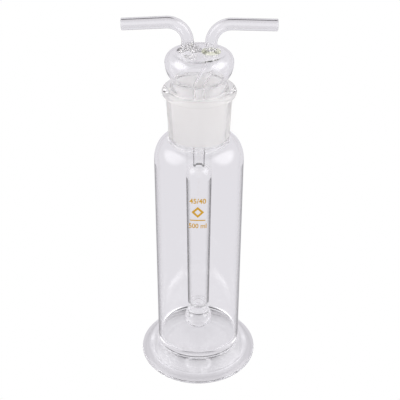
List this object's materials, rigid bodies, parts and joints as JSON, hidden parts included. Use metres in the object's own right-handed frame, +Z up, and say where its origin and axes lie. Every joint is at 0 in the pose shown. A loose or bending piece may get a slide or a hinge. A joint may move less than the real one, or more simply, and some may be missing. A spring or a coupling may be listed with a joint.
{
  "type": "gas washing bottle",
  "caption": "Clear glass gas washing bottle: tall cylinder on a disc foot, ground glass neck, and a lift-out head with squat bulb, bent hose arms and a dip tube with a perforated bubbler.",
  "frame": {"origin": "centre of the foot's underside, on the surface that it stands on", "axes": "+Z up along the bottle's axis; the hose arms lie along X, with the inlet towards +X and the outlet towards -X; -Y is the printed front"},
  "size_m": [0.115, 0.1016, 0.3124],
  "materials": {
    "clear_glass": "clear, fire polished",
    "ground_glass": "finely ground, milky",
    "seal_glass": "clear, faint yellow green"
  },
  "bodies": {
    "bottle": {"foot": "clear_glass", "vessel": "clear_glass", "ground_socket": "ground_glass"},
    "head": {"ground_cone": "ground_glass", "head_bulb": "clear_glass", "outlet_arm": "clear_glass", "inlet_arm": "clear_glass", "ring_seal": "seal_glass", "dip_tube": "clear_glass", "chamber": "clear_glass", "bubbler": "clear_glass"}
  },
  "joints": [
    {"name": "head_lift", "type": "slide", "parent": "bottle", "child": "head", "axis": [0, 0, 1], "range_m": [0, 0.24]}
  ]
}
